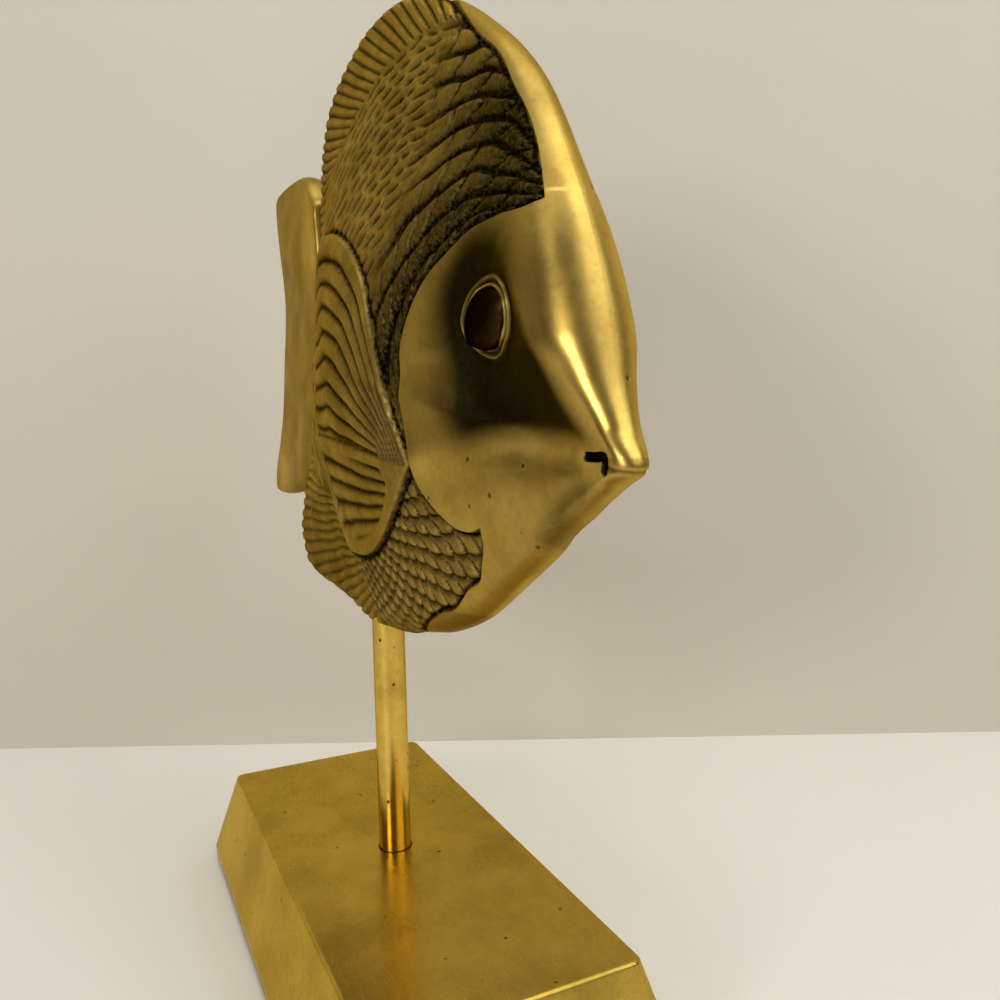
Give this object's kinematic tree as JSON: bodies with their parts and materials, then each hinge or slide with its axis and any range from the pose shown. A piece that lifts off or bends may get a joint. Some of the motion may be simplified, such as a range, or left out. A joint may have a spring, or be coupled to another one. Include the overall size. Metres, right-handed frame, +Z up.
{
  "type": "fish figurine",
  "caption": "Cast brass tropical fish with engraved scales, held upright on a round rod above a tapered rectangular base.",
  "frame": {"origin": "on the rod's axis, at the felt's underside where the base stands on the table", "axes": "+X towards the fish's head along the base, +Z up along the rod, -Y out of the fish's right flank"},
  "size_m": [0.2289, 0.071, 0.2247],
  "materials": {
    "fish_brass": "cast brass, polished on the face and tail, engraved and darkened with patina on the scales and fins",
    "eye_brown": "dark brown patinated brass, smooth",
    "rod_brass": "drawn bar, polished",
    "base_brass": "cast and ground, lightly tarnished polish",
    "plated_steel": "zinc plated",
    "felt": "short dark green felt"
  },
  "bodies": {
    "root": {"body_right_shell": "fish_brass", "body_left_shell": "fish_brass", "right_eye": "eye_brown", "left_eye": "eye_brown", "stem_rod": "rod_brass", "base_casting": "base_brass", "base_washer": "plated_steel", "lock_washer": "plated_steel", "base_nut": "plated_steel", "felt_sheet": "felt"}
  },
  "joints": []
}
